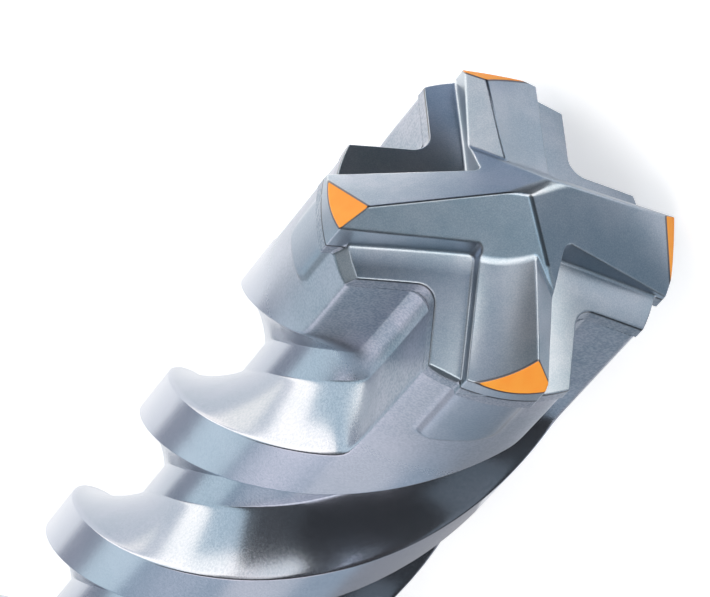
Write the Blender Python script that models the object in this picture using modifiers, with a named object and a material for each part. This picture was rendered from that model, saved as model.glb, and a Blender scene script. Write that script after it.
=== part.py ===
"""Masonry drill bit: a four-cutter carbide head brazed on a fluted steel body with a slotted shank.

Everything is modelled upright on the drill axis in millimetres, with the tip at z = 0 and the shank
below. The parent empty lays the finished bit down on its flutes, and the sizes become metres there.
Seen from the tip the bit turns counter-clockwise, so the leading side of an arm is the one at the
larger angle. The arm along +X and the one opposite carry the main cutters.
"""

import math

import bmesh
import bpy
from mathutils import Matrix, Vector

MM = 0.001

# Whole bit
CUTTING_DIAMETER = 16.4
SECOND_PAIR_DIAMETER = 15.8
OVERALL_LENGTH = 160.0
FLUTED_LENGTH = 100.0
ARMS = 4

# Carbide bars: distance of each upright wall from the middle of its arm
MAIN_LEADING_WALL = 2.0
MAIN_TRAILING_WALL = 1.35
SECOND_LEADING_WALL = 2.0
SECOND_TRAILING_WALL = 1.65
BAR_INNER_FILLET = 0.35

# Roof faces: height on the axis, fall outwards along the arm, fall across it
MAIN_TRAILING_FACE = (0.16, 0.490, 0.732)
MAIN_LEADING_FACE = (0.78, 0.195, 1.359)
SECOND_TRAILING_FACE = (-1.63, 0.272, 0.331)
SECOND_LEADING_FACE = (-1.28, 0.105, 0.870)

# Chisel edge across the axis, with a thinning facet on each side of it
CHISEL_AZIMUTH = 49.0
CHISEL_FACET_TILT = 12.0

# Chamfer on the outer end of each arm: length taken off the ridge, slope, turn to the leading side
MAIN_CHAMFER = (1.1, 55.5, -9.0)
SECOND_CHAMFER = (1.1, 49.5, 1.5)

# Conical ledge round the bars, its rim, and the braze joint under it
LEDGE_DIAMETER = 15.4
LEDGE_LEADING_SIDE = 3.48
LEDGE_TRAILING_SIDE = 3.17
LEDGE_FILLET = 0.85
LEDGE_TOP = -2.7
LEDGE_SLOPE = 0.285
LEDGE_RIM = 0.8
BRAZE_GAP = 0.3
MAIN_END_FACET = 0.45
SECOND_END_FACET = 0.2
END_FACET_SLOPE = 55.0

# Fluted body
LAND_DIAMETER = 15.2
CORE_DIAMETER = 9.8
HELIX_LEAD = 55.0
HELIX_START = 12.1
LAND_LEADING_ANGLE = 19.0
LAND_TRAILING_ANGLE = 8.0
UNDERCUT_FLANK_ANGLE = 18.0
LIFTING_FLANK_ANGLE = 24.0
EDGE_BLEND_ANGLE = 3.0
RUNOUT_LENGTH = 9.0
SHOULDER_LENGTH = 4.0

# Raised pad on each land under its cutter
PAD_PROUD = 0.25
PAD_LEADING_SIDE = 2.0
PAD_TRAILING_SIDE = 2.0
PAD_TOP = 6.1
PAD_LEADING_END = 9.4
PAD_TRAILING_END = 10.4
PAD_CORNER = 0.7

# Neck and slotted shank
NECK_DIAMETER = 10.6
NECK_LENGTH = 8.0
SHANK_DIAMETER = 10.0
SHANK_END_CHAMFER = 1.0
DRIVE_SLOT_WIDTH = 3.0
DRIVE_SLOT_DEPTH = 1.9
DRIVE_SLOT_LENGTH = 33.0
DRIVE_SLOT_RUNOUT = 7.0
LOCK_GROOVE_BALL = 3.0
LOCK_GROOVE_DEPTH = 1.5
LOCK_GROOVE_FROM_END = 13.0
LOCK_GROOVE_LENGTH = 22.0

# Fineness of the round and wound surfaces
ROUND_STEPS = 48
ARC_STEPS = 4
RING_TURN = 10.0

CUTTING_RADIUS = CUTTING_DIAMETER / 2
SECOND_RADIUS = SECOND_PAIR_DIAMETER / 2
LAND_RADIUS = LAND_DIAMETER / 2
CORE_RADIUS = CORE_DIAMETER / 2
NECK_RADIUS = NECK_DIAMETER / 2
SHANK_RADIUS = SHANK_DIAMETER / 2
ARM_PITCH = 360.0 / ARMS
JOINT_TOP = LEDGE_TOP - LEDGE_RIM
STEEL_TOP = JOINT_TOP - BRAZE_GAP
FAR = 2 * CUTTING_DIAMETER


def new_collection(name):
    group = bpy.data.collections.new(name)
    bpy.context.scene.collection.children.link(group)
    return group


def make_material(name, colour, roughness, metallic):
    material = bpy.data.materials.new(name)
    material.use_nodes = True
    shader = material.node_tree.nodes["Principled BSDF"]
    shader.inputs["Base Color"].default_value = (*colour, 1.0)
    shader.inputs["Roughness"].default_value = roughness
    shader.inputs["Metallic"].default_value = metallic
    return material


def object_from_bmesh(bm, name, group):
    bmesh.ops.recalc_face_normals(bm, faces=bm.faces)
    mesh = bpy.data.meshes.new(name)
    bm.to_mesh(mesh)
    bm.free()
    item = bpy.data.objects.new(name, mesh)
    group.objects.link(item)
    return item


def evaluated_mesh(item):
    bpy.context.view_layer.update()
    graph = bpy.context.evaluated_depsgraph_get()
    return bpy.data.meshes.new_from_object(item.evaluated_get(graph))


def combine(base, tool, operation):
    """Apply one exact Boolean to the base and remove the tool."""
    modifier = base.modifiers.new(operation.lower(), "BOOLEAN")
    modifier.operation = operation
    modifier.solver = "EXACT"
    modifier.object = tool
    base.data = evaluated_mesh(base)
    base.modifiers.clear()
    bpy.data.objects.remove(tool, do_unlink=True)


def turned(point, degrees):
    angle = math.radians(degrees)
    x, y = point
    return (x * math.cos(angle) - y * math.sin(angle), x * math.sin(angle) + y * math.cos(angle))


def arc_points(centre, radius, start, end, steps):
    points = []
    for step in range(steps + 1):
        x, y = turned((radius, 0), start + (end - start) * step / steps)
        points.append((centre[0] + x, centre[1] + y))
    return points


def side_angle(distance, radius):
    """Angle at which a line beside the arm, at this distance, meets the circle."""
    return math.degrees(math.asin(distance / radius))


def cross_outline(arms, fillet):
    """Outline of a cross; each arm is (radius, leading side, trailing side), the first along +X."""
    outline = []
    for number, (radius, leading, trailing) in enumerate(arms):
        next_trailing = arms[(number + 1) % len(arms)][2]
        end = arc_points((0, 0), radius, -side_angle(trailing, radius),
                         side_angle(leading, radius), ARC_STEPS)
        corner_centre = (next_trailing + fillet, leading + fillet)
        corner = arc_points(corner_centre, fillet, 270, 180, ARC_STEPS)
        outline += [turned(point, ARM_PITCH * number) for point in end + corner]
    return outline


def extruded(outline, bottom, top, name, group):
    """Flat outline as a filled curve, thickened between two heights and made a closed mesh."""
    curve = bpy.data.curves.new(name, "CURVE")
    curve.dimensions = "2D"
    curve.fill_mode = "BOTH"
    curve.extrude = (top - bottom) / 2
    spline = curve.splines.new("POLY")
    spline.points.add(len(outline) - 1)
    for point, (x, y) in zip(spline.points, outline):
        point.co = (x, y, 0, 1)
    spline.use_cyclic_u = True
    flat = bpy.data.objects.new(name + "_outline", curve)
    flat.location.z = (top + bottom) / 2
    group.objects.link(flat)
    mesh = evaluated_mesh(flat)
    mesh.transform(flat.matrix_world)
    bpy.data.objects.remove(flat, do_unlink=True)
    bm = bmesh.new()
    bm.from_mesh(mesh)
    bmesh.ops.remove_doubles(bm, verts=bm.verts, dist=0.0001)
    return object_from_bmesh(bm, name, group)


def lathe(profile, name, group, steps=ROUND_STEPS):
    """Turn a profile of (radius, height) points, listed from top to bottom, about the drill axis."""
    mesh = bpy.data.meshes.new(name + "_profile")
    edges = [(number, number + 1) for number in range(len(profile) - 1)]
    mesh.from_pydata([(radius, 0, height) for radius, height in profile], edges, [])
    item = bpy.data.objects.new(name + "_profile", mesh)
    group.objects.link(item)
    screw = item.modifiers.new("turn", "SCREW")
    screw.steps = steps
    screw.render_steps = steps
    screw.use_merge_vertices = True
    screw.merge_threshold = 0.0001
    bm = bmesh.new()
    bm.from_mesh(evaluated_mesh(item))
    bpy.data.objects.remove(item, do_unlink=True)
    return object_from_bmesh(bm, name, group)


def cone_blank(top, thickness, name, group):
    """Turned disc whose upper and lower faces fall outwards with the slope of the ledge."""
    edge = top - LEDGE_SLOPE * FAR
    profile = [(0, top), (FAR, edge), (FAR, edge - thickness), (0, top - thickness)]
    return lathe(profile, name, group)


def plane(height, fall):
    """A point on the axis and the normal of a plane that falls along a direction."""
    return Vector((0, 0, height)), Vector((*fall, 1)).normalized()


def roof_fall(face, azimuth, side):
    """Height on the axis and fall of a roof face; side is 1 if it leads and -1 if it trails."""
    height, outward, across = face
    return height, Vector(turned((outward, side * across), azimuth))


def ridge_offset(reach, trailing_face, leading_face):
    """How far the ridge lies towards the leading side, where both roof faces have one height."""
    height = leading_face[0] - trailing_face[0]
    fall = (trailing_face[1] - leading_face[1]) * reach
    return (height + fall) / (trailing_face[2] + leading_face[2])


def chamfer_plane(azimuth, radius, chamfer, trailing_face, leading_face):
    """Plane through the outer end of the ridge, sloping down and outwards."""
    width, slope, skew = chamfer
    reach = radius - width
    offset = ridge_offset(reach, trailing_face, leading_face)
    height = trailing_face[0] - trailing_face[1] * reach + trailing_face[2] * offset
    fall = turned((math.tan(math.radians(slope)), 0), azimuth + skew)
    return Vector((*turned((reach, offset), azimuth), height)), Vector((*fall, 1)).normalized()


def chisel_planes():
    """Two facets that meet in the chisel edge at the tip and fall away on either side."""
    lean = math.tan(math.radians(CHISEL_FACET_TILT))
    return [plane(0, turned((lean, 0), CHISEL_AZIMUTH + side)) for side in (90, 270)]


def planed_box(planes, name, group):
    """Large box round the tip, cut off above several planes."""
    bm = bmesh.new()
    bmesh.ops.create_cube(bm, size=2 * FAR)
    for point, normal in planes:
        cut = bmesh.ops.bisect_plane(
            bm, geom=bm.verts[:] + bm.edges[:] + bm.faces[:], dist=0.00001,
            plane_co=point, plane_no=normal, clear_outer=True)
        rim = [item for item in cut["geom_cut"] if isinstance(item, bmesh.types.BMEdge)]
        bmesh.ops.edgeloop_fill(bm, edges=rim)
    return object_from_bmesh(bm, name, group)


def roof_block(azimuth, radius, chamfer, trailing_face, leading_face, name, group, crown=()):
    """Roof over a pair of opposite arms, with faces that repeat half a turn on."""
    planes = list(crown)
    for angle in (azimuth, azimuth + 180):
        planes.append(plane(*roof_fall(trailing_face, angle, -1)))
        planes.append(plane(*roof_fall(leading_face, angle, 1)))
        planes.append(chamfer_plane(angle, radius, chamfer, trailing_face, leading_face))
    return planed_box(planes, name, group)


def end_facet_cutter(azimuth, width, name, group):
    """Tilted block that takes the outer corner off the end of the ledge at one azimuth."""
    reach = LEDGE_DIAMETER / 2 - width
    bm = bmesh.new()
    bmesh.ops.create_cube(bm, size=LEDGE_DIAMETER)
    bmesh.ops.translate(bm, vec=(LEDGE_DIAMETER / 2, 0, 0), verts=bm.verts)
    tilt = Matrix.Rotation(math.radians(END_FACET_SLOPE - 90), 3, "Y")
    bmesh.ops.rotate(bm, matrix=tilt, verts=bm.verts)
    bmesh.ops.translate(bm, vec=(reach, 0, LEDGE_TOP - LEDGE_SLOPE * reach), verts=bm.verts)
    bmesh.ops.rotate(bm, matrix=Matrix.Rotation(math.radians(azimuth), 3, "Z"), verts=bm.verts)
    return object_from_bmesh(bm, name, group)


def mean_angle(wall, ledge_side):
    """Angle off the arm of the middle of the ledge's end, between the bar's wall and its own side."""
    radius = LEDGE_DIAMETER / 2
    return (side_angle(wall, radius) + side_angle(ledge_side, radius)) / 2


def carbide_head(parts, cutters):
    """Cross of roofed bars on a thin base with a conical ledge."""
    main = (CUTTING_RADIUS, MAIN_LEADING_WALL, MAIN_TRAILING_WALL)
    second = (SECOND_RADIUS, SECOND_LEADING_WALL, SECOND_TRAILING_WALL)
    head = extruded(cross_outline([main, second] * (ARMS // 2), BAR_INNER_FILLET),
                    -CUTTING_DIAMETER, CUTTING_RADIUS, "carbide_head", parts)
    roof = roof_block(0, CUTTING_RADIUS, MAIN_CHAMFER, MAIN_TRAILING_FACE, MAIN_LEADING_FACE,
                      "roof", cutters, crown=chisel_planes())
    second_roof = roof_block(ARM_PITCH, SECOND_RADIUS, SECOND_CHAMFER, SECOND_TRAILING_FACE,
                             SECOND_LEADING_FACE, "second_roof", cutters)
    combine(roof, second_roof, "UNION")
    combine(head, roof, "INTERSECT")

    ledge_arm = (LEDGE_DIAMETER / 2, LEDGE_LEADING_SIDE, LEDGE_TRAILING_SIDE)
    ledge = extruded(cross_outline([ledge_arm] * ARMS, LEDGE_FILLET),
                     -CUTTING_DIAMETER, CUTTING_RADIUS, "ledge", cutters)
    combine(ledge, cone_blank(LEDGE_TOP, FAR, "ledge_cone", cutters), "INTERSECT")
    main_facet = mean_angle(MAIN_LEADING_WALL, LEDGE_LEADING_SIDE)
    second_facet = ARM_PITCH - mean_angle(SECOND_TRAILING_WALL, LEDGE_TRAILING_SIDE)
    for half_turn in (0, 180):
        for azimuth, width in ((main_facet, MAIN_END_FACET), (second_facet, SECOND_END_FACET)):
            cutter = end_facet_cutter(azimuth + half_turn, width, "end_facet", cutters)
            combine(ledge, cutter, "DIFFERENCE")
    combine(head, ledge, "UNION")
    combine(head, cone_blank(JOINT_TOP, 2 * FAR, "joint_cone", cutters), "DIFFERENCE")
    return head


def smooth(value):
    value = min(max(value, 0.0), 1.0)
    return value * value * (3 - 2 * value)


def soft_min(first, second):
    """The smaller of two angles, rounded where they cross."""
    return (first + second - math.hypot(first - second, EDGE_BLEND_ANGLE)) / 2


def polar(radius, degrees):
    return Vector(turned((radius, 0), degrees))


def along(start, end, steps):
    """Points between two others, without either of them."""
    return [start.lerp(end, step / steps) for step in range(1, steps)]


def flute_section(depth):
    """Outline across the body at one depth below the tip.

    Near the head the walls of the lands run straight down from the ledge. Below it every land edge
    goes over to the helix as soon as the helix has come round to it.
    """
    turn = (HELIX_START - depth) * 360.0 / HELIX_LEAD
    leading_edge = soft_min(side_angle(LEDGE_LEADING_SIDE, LAND_RADIUS),
                            turn + LAND_LEADING_ANGLE)
    trailing_edge = soft_min(-side_angle(LEDGE_TRAILING_SIDE, LAND_RADIUS),
                             turn - LAND_TRAILING_ANGLE)

    corner = Vector((LEDGE_TRAILING_SIDE + LEDGE_FILLET, LEDGE_LEADING_SIDE))
    next_corner = Vector((LEDGE_TRAILING_SIDE, LEDGE_LEADING_SIDE + LEDGE_FILLET))
    straight_start = math.degrees(math.atan2(corner.y, corner.x))
    straight_end = math.degrees(math.atan2(next_corner.y, next_corner.x))
    wound_start = turn + LAND_LEADING_ANGLE + UNDERCUT_FLANK_ANGLE
    wound_end = turn + ARM_PITCH - LAND_TRAILING_ANGLE - LIFTING_FLANK_ANGLE
    floor_start = soft_min(straight_start, wound_start)
    floor_end = soft_min(straight_end, wound_end)

    wound = smooth((depth - HELIX_START) / (HELIX_LEAD / ARMS / 4) + 0.5)
    runout = smooth((depth - FLUTED_LENGTH + RUNOUT_LENGTH) / RUNOUT_LENGTH)
    rise = (LAND_RADIUS - CORE_RADIUS) * runout
    side_radius = corner.length + (CORE_RADIUS - corner.length) * wound + rise
    hollow = (LEDGE_FILLET * (math.sqrt(2) - 1) / 2) * (1 - wound)

    floor = []
    for step in range(ARC_STEPS + 1):
        share = step / ARC_STEPS
        radius = side_radius - hollow * (1 - (2 * share - 1) ** 2)
        floor.append(polar(radius, floor_start + (floor_end - floor_start) * share))
    land = []
    for step in range(ARC_STEPS + 1):
        angle = trailing_edge + (leading_edge - trailing_edge) * step / ARC_STEPS
        land.append(polar(LAND_RADIUS, angle))
    next_land = polar(LAND_RADIUS, trailing_edge + ARM_PITCH)
    quarter = land + along(land[-1], floor[0], 2) + floor + along(floor[-1], next_land, 2)
    outline = []
    for number in range(ARMS):
        outline += [Vector(turned(point, ARM_PITCH * number)) for point in quarter]
    return outline


def ring_depths():
    """Depths of the sections: few where the lands are straight, then one for each part of a turn."""
    step = HELIX_LEAD * RING_TURN / 360.0
    first = HELIX_START - 2 * step
    count = math.ceil((FLUTED_LENGTH - first) / step)
    wound = [first + (FLUTED_LENGTH - first) * number / count for number in range(count + 1)]
    return [(PAD_TOP + first) / 2] + wound


def fluted_loft(name, group):
    """Sections joined from the conical seat of the head down to the shoulder above the neck."""
    bm = bmesh.new()
    depths = ring_depths()
    rings = []
    top = flute_section(depths[0])
    rings.append([(point.x, point.y, STEEL_TOP - LEDGE_SLOPE * point.length) for point in top])
    for depth in depths:
        rings.append([(point.x, point.y, -depth) for point in flute_section(depth)])
    shoulder = [point * (CORE_RADIUS / LAND_RADIUS) for point in flute_section(FLUTED_LENGTH)]
    rings.append([(point.x, point.y, -FLUTED_LENGTH - SHOULDER_LENGTH) for point in shoulder])

    loops = [[bm.verts.new(point) for point in ring] for ring in rings]
    for upper, lower in zip(loops, loops[1:]):
        for number, vertex in enumerate(upper):
            following = (number + 1) % len(upper)
            bm.faces.new((vertex, lower[number], lower[following], upper[following]))
    caps = ((loops[0], STEEL_TOP), (loops[-1], -FLUTED_LENGTH - SHOULDER_LENGTH))
    for loop, height in caps:
        middle = bm.verts.new((0, 0, height))
        for number, vertex in enumerate(loop):
            bm.faces.new((middle, vertex, loop[(number + 1) % len(loop)]))
    return object_from_bmesh(bm, name, group)


def land_pad(azimuth, name, group):
    """Rounded plate that stands a little proud of the land."""
    left = arc_points((-PAD_TRAILING_END + PAD_CORNER, -PAD_TRAILING_SIDE + PAD_CORNER),
                      PAD_CORNER, 270, 180, ARC_STEPS)
    right = arc_points((-PAD_LEADING_END + PAD_CORNER, PAD_LEADING_SIDE - PAD_CORNER),
                       PAD_CORNER, 180, 90, ARC_STEPS)
    outline = [(-PAD_TOP, -PAD_TRAILING_SIDE)] + left + right + [(-PAD_TOP, PAD_LEADING_SIDE)]
    plate = extruded(outline, CORE_RADIUS, FAR, name, group)
    plate.data.transform(Matrix(((0, 0, 1, 0), (0, 1, 0, 0), (1, 0, 0, 0), (0, 0, 0, 1))))
    plate.data.flip_normals()
    plate.data.transform(Matrix.Rotation(math.radians(azimuth), 4, "Z"))
    return plate


def cylinder(radius, top, bottom, name, group):
    bm = bmesh.new()
    bmesh.ops.create_cone(bm, cap_ends=True, segments=2 * ROUND_STEPS, radius1=radius,
                          radius2=radius, depth=top - bottom)
    bmesh.ops.translate(bm, vec=(0, 0, (top + bottom) / 2), verts=bm.verts)
    return object_from_bmesh(bm, name, group)


def drive_slot_cutter(azimuth, name, group):
    """Groove open at the shank's end, whose floor runs out in an arc."""
    floor = SHANK_RADIUS - DRIVE_SLOT_DEPTH
    end = OVERALL_LENGTH - DRIVE_SLOT_LENGTH
    fan = math.degrees(math.acos(1 - DRIVE_SLOT_DEPTH / DRIVE_SLOT_RUNOUT))
    run = DRIVE_SLOT_RUNOUT * math.sin(math.radians(fan))
    arc = arc_points((floor + DRIVE_SLOT_RUNOUT, -end - run), DRIVE_SLOT_RUNOUT,
                     180, 180 - fan, ARC_STEPS)
    outline = [(floor, -OVERALL_LENGTH - 1)] + arc + [(FAR, arc[-1][1]), (FAR, -OVERALL_LENGTH - 1)]
    slot = extruded(outline, -DRIVE_SLOT_WIDTH / 2, DRIVE_SLOT_WIDTH / 2, name, group)
    slot.data.transform(Matrix.Rotation(math.radians(90), 4, "X"))
    slot.data.transform(Matrix.Rotation(math.radians(azimuth), 4, "Z"))
    return slot


def lock_groove_cutter(azimuth, name, group):
    """Ball-ended groove, closed at both ends."""
    top = OVERALL_LENGTH - LOCK_GROOVE_FROM_END - LOCK_GROOVE_LENGTH + LOCK_GROOVE_BALL
    bottom = OVERALL_LENGTH - LOCK_GROOVE_FROM_END - LOCK_GROOVE_BALL
    upper = arc_points((0, -top), LOCK_GROOVE_BALL, 90, 0, 2 * ARC_STEPS)
    lower = arc_points((0, -bottom), LOCK_GROOVE_BALL, 0, -90, 2 * ARC_STEPS)
    profile = [(0, upper[0][1])] + upper[1:] + lower[:-1] + [(0, lower[-1][1])]
    groove = lathe(profile, name, group, steps=ROUND_STEPS // 2)
    reach = SHANK_RADIUS - LOCK_GROOVE_DEPTH + LOCK_GROOVE_BALL
    groove.data.transform(Matrix.Translation((reach, 0, 0)))
    groove.data.transform(Matrix.Rotation(math.radians(azimuth), 4, "Z"))
    return groove


def steel_body(parts, cutters):
    """Flutes, shoulder, neck and shank of one steel bar."""
    body = fluted_loft("steel_body", parts)
    for number in range(ARMS):
        pad = land_pad(ARM_PITCH * number, "pad", cutters)
        round_face = cylinder(LAND_RADIUS + PAD_PROUD, 0, -HELIX_START, "pad_face", cutters)
        combine(pad, round_face, "INTERSECT")
        combine(body, pad, "UNION")

    neck_top = -FLUTED_LENGTH - SHOULDER_LENGTH / 4
    neck_end = neck_top - NECK_LENGTH
    taper = NECK_RADIUS - SHANK_RADIUS
    profile = [
        (0, neck_top), (NECK_RADIUS, neck_top), (NECK_RADIUS, neck_end),
        (SHANK_RADIUS, neck_end - 2 * taper),
        (SHANK_RADIUS, -OVERALL_LENGTH + SHANK_END_CHAMFER),
        (SHANK_RADIUS - SHANK_END_CHAMFER, -OVERALL_LENGTH), (0, -OVERALL_LENGTH)]
    combine(body, lathe(profile, "shank", cutters), "UNION")
    for azimuth in (45, 225):
        combine(body, drive_slot_cutter(azimuth, "drive_slot", cutters), "DIFFERENCE")
        combine(body, lock_groove_cutter(azimuth + 90, "lock_groove", cutters), "DIFFERENCE")
    return body


def lay_down(pieces, group):
    """Hang the pieces on one axis, tip towards +X, and seat the lowest land on the ground plane."""
    axis = bpy.data.objects.new("bit_axis", None)
    group.objects.link(axis)
    axis.matrix_world = (Matrix.Rotation(math.radians(90), 4, "Y")
                         @ Matrix.Rotation(math.radians(-ARM_PITCH / 2), 4, "Z"))
    lowest = 0.0
    for piece in pieces:
        piece.data.transform(Matrix.Scale(MM, 4))
        piece.parent = axis
        heights = [(axis.matrix_world @ vertex.co).z for vertex in piece.data.vertices]
        lowest = min(lowest, *heights)
    axis.location = (OVERALL_LENGTH * MM / 2, 0, -lowest)


def main():
    for item in list(bpy.data.objects):
        bpy.data.objects.remove(item, do_unlink=True)
    parts = new_collection("masonry_drill_bit")
    cutters = new_collection("cutters")
    head = carbide_head(parts, cutters)
    head.data.materials.clear()
    head.data.materials.append(make_material("sintered_carbide", (0.30, 0.33, 0.38), 0.38, 0.85))
    body = steel_body(parts, cutters)
    body.data.materials.clear()
    body.data.materials.append(make_material("blasted_steel", (0.42, 0.44, 0.49), 0.45, 0.9))
    for piece in (head, body):
        piece.data.shade_smooth()
        piece.data.set_sharp_from_angle(angle=math.radians(25))
    lay_down((head, body), parts)


main()
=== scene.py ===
"""Looks of the masonry drill bit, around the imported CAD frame.

The carbide head and the steel body are made again here with rounded edges, fillets and fine
surfaces, on the sizes of the solids. Both are worked out upright in millimetres, with the tip at
z = 0 and the first arm along +X, and LAY turns them into the frame. Angles are in degrees.
"""
import math

import bmesh
import bpy
import numpy as np
from mathutils import Matrix, Quaternion, Vector


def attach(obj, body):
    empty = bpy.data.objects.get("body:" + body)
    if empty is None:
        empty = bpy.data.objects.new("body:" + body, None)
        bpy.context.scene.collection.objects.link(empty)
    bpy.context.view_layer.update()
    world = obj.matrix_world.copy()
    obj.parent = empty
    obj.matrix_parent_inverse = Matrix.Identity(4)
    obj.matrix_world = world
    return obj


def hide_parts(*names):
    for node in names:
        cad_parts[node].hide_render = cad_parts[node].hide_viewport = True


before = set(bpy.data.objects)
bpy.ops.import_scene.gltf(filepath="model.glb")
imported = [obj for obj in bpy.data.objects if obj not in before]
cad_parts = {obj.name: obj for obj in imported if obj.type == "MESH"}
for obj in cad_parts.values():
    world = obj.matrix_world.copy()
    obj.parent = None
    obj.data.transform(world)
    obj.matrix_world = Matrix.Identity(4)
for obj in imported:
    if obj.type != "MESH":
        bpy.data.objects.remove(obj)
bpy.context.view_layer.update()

# Sizes of the head, as in the solids except for the end facets, which are narrower and steeper
CUTTING_RADIUS = 8.2
SECOND_RADIUS = 7.9
BAR_WALLS = ((2.0, 1.35), (2.0, 1.65))          # leading, trailing: first pair, second pair
BAR_INNER_FILLET = 0.35
MAIN_TRAILING = (0.16, 0.490, 0.732)            # height on the axis, fall outwards, fall across
MAIN_LEADING = (0.78, 0.195, 1.359)
SECOND_TRAILING = (-1.63, 0.272, 0.331)
SECOND_LEADING = (-1.28, 0.105, 0.870)
CHISEL_AZIMUTH = 49.0
CHISEL_TILT = 12.0
MAIN_CHAMFER = (1.1, 55.5, -9.0)                # length off the ridge, slope, turn
SECOND_CHAMFER = (1.1, 49.5, 1.5)
LEDGE_RADIUS = 7.7
LEDGE_LEADING = 3.48
LEDGE_TRAILING = 3.17
LEDGE_FILLET = 0.85
LEDGE_TOP = -2.7
LEDGE_SLOPE = 0.285
LEDGE_RIM = 0.8
END_FACETS = ((20.96, 0.34), (71.66, 0.12))     # azimuth, width
END_FACET_SLOPE = 66.0

# Roundings of the head, which the solids don't have
EDGE_ROUND = 0.055
RIDGE_ROUND = 0.09
WALL_FOOT_FILLET = 0.14
VALLEY_FILLET = 0.12
FACE_HOLLOW = (0.09, 0.14)                      # along the whole face, and more in its middle
HOLLOW_ACROSS = (-0.25, 1.45)                   # middle off the arm's centre line, half width
HOLLOW_MIDDLE = (4.7, 3.4)                      # middle along the arm, half length
LEDGE_SWEEP = (0.95, 0.13)                      # reach from the wall, rise per mm squared

# Mesh of the head
HEAD_BOX = ((-8.5, -8.5, -6.1), (8.5, 8.5, 0.3))
HEAD_STEP = 0.06
HEAD_TRIANGLES = 180000
SETTLE_ROUNDS = 4
SETTLE_STEP = 0.6                               # farthest move in a round, as a share of HEAD_STEP
SLOPE_REACH = 0.01                              # reach of the differences that give the slope
NORMAL_REACH = 0.02                             # and of those that give the normals

# Sizes of the steel body, as in the solids except for the pads and the closed braze line
LAND_RADIUS = 7.6
CORE_RADIUS = 4.9
HELIX_LEAD = 55.0
HELIX_START = 12.1
HELIX_BLEND = HELIX_LEAD / 16
LAND_LEADING = 19.0
LAND_TRAILING = 8.0
UNDERCUT_FLANK = 18.0
LIFTING_FLANK = 24.0
EDGE_BLEND = 3.0                                # degrees over which straight and wound edges meet
SECTION_STEPS = (44, 12, 30)                    # on a land, on a flank, on the floor of a flute
SECTION_SOFTENING = 2
PAD_ROWS = (5.9, 11.2, 0.12)                    # rows of points along the pads: from, to, step
ROW_STEPS = (0.35, 0.75)                        # below them, first down to COARSE_FROM
COARSE_FROM = 24
LEVEL_FROM = 6.1                                # first level row under the sloped seat
FLUTED_LENGTH = 100.0
RUNOUT_LENGTH = 9.0
SHOULDER_LENGTH = 4.0
SHOULDER_ROWS = 6
BRAZE_LINE = 0.01
BODY_TOP = LEDGE_TOP - LEDGE_RIM - BRAZE_LINE
PAD_PROUD = 0.2
PAD_SIDE = 1.6
PAD_LEADING_END = 9.4
PAD_TRAILING_END = 10.4
PAD_CORNER = 0.7
PAD_EDGE = 0.08                                 # half width of its soft edge
PAD_END_LEAN = 0.97                             # cosine of the slant of its end
NECK_RADIUS = 5.3
NECK_LENGTH = 8.0
SHANK_RADIUS = 5.0
OVERALL_LENGTH = 160.0
END_CHAMFER = (1.06, 0.95, 0.04)                # full size, and the points that round its edges
BROKEN_EDGE = 0.12
SHANK_STEPS = 128
GROOVE_STEPS = 64
ARC_STEPS = 16
BEVEL_FROM = 35                                 # edges sharper than this angle get the bevel
SHANK_SHARP_FROM = 24                           # edges that are shaded sharp
BODY_SHARP_FROM = 50
SLOT_AZIMUTHS = (45, 225)
SLOT_WIDTH = 3.0
SLOT_DEPTH = 1.9
SLOT_LENGTH = 33.0
SLOT_RUNOUT = 7.0
GROOVE_BALL = 3.0
GROOVE_DEPTH = 1.5
GROOVE_FROM_END = 13.0
GROOVE_LENGTH = 22.0

# Colours of the surfaces; a pair is the darker and the lighter patches
CARBIDE = ((0.255, 0.322, 0.392, 1), (0.335, 0.38, 0.45, 1))
CARBIDE_SPECKS = ((0.15, 0.2, 0.26, 1), (0.5, 0.53, 0.6, 1))
BLASTED = ((0.22, 0.28, 0.35, 1), (0.34, 0.37, 0.45, 1))
BLASTED_SPECKS = ((0.12, 0.17, 0.23, 1), (0.48, 0.51, 0.58, 1))
ORANGE = ((1.0, 0.3, 0.006, 1), (1.0, 0.37, 0.02, 1))
# Painted crease shade round the orange marks
MARK_CREASE_SHADE = (0.06, 0.045, 0.04, 1)
# Painted shade: dark lines along the ridges, the middle edge and under the ledge's upper edge
PAINTED_EDGE_SHADE = (0.03, 0.035, 0.045, 1)
FAR_STEEL = (0.3, 0.34, 0.41, 1)
LAND_STEEL = (0.46, 0.48, 0.56, 1)
PAD_STEEL = (0.2, 0.27, 0.35, 1)
# Painted shade on the sloped sides of the pads
PAD_SIDE_SHADE = (0.08, 0.1, 0.13, 1)

# Where the looks change: a pair is (not yet, fully)
NEAR_HEAD = (-16.0, -10.0)                      # height: blasted skin of the steel
LAND_FROM = (7.3, 7.55)                         # radius
PAD_SIDE_SHADE_FROM = (7.62, 7.66)
PAD_FROM = (7.7, 7.76)
# Depth of the painted shade line under the ledge's edge
RIM_SHADE_FROM = (0.012, 0.035)                  # depth below the ledge
RIM_FROM = (0.1, 0.16)
OFF_FACET = (0.012, 0.03)                       # distance from the planes of the end facets
# Reach of the painted shade along the dark edges
OFF_SHADED_EDGE = (0.045, 0.08)                        # distance from a dark edge
# Reach of the painted crease shade round the marks
OFF_CREASE_SHADE = (0.06, 0.1)                       # distance from the chamfers that carry a mark
OFF_MARK = (0.016, 0.032)
MARKS_FROM = (-6.2, -5.9)                       # height

# Studio round the head: distances in mm, levels where white paper is 1
AMBIENT = 0.75
FLOOR_GLOW = 0.5
FLOOR_REACH = 1.5                               # m each way
HEAD_AT = 78.0
CARD_RADIUS = 230.0
CARD_POINTS = 25                                # along an arc
CARD_ROWS = 5                                   # between two elevations
FLOOR_CARD = 0.35                               # height of the cards on the floor
BLACK = (0.02, 0.018, 0.018)

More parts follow.
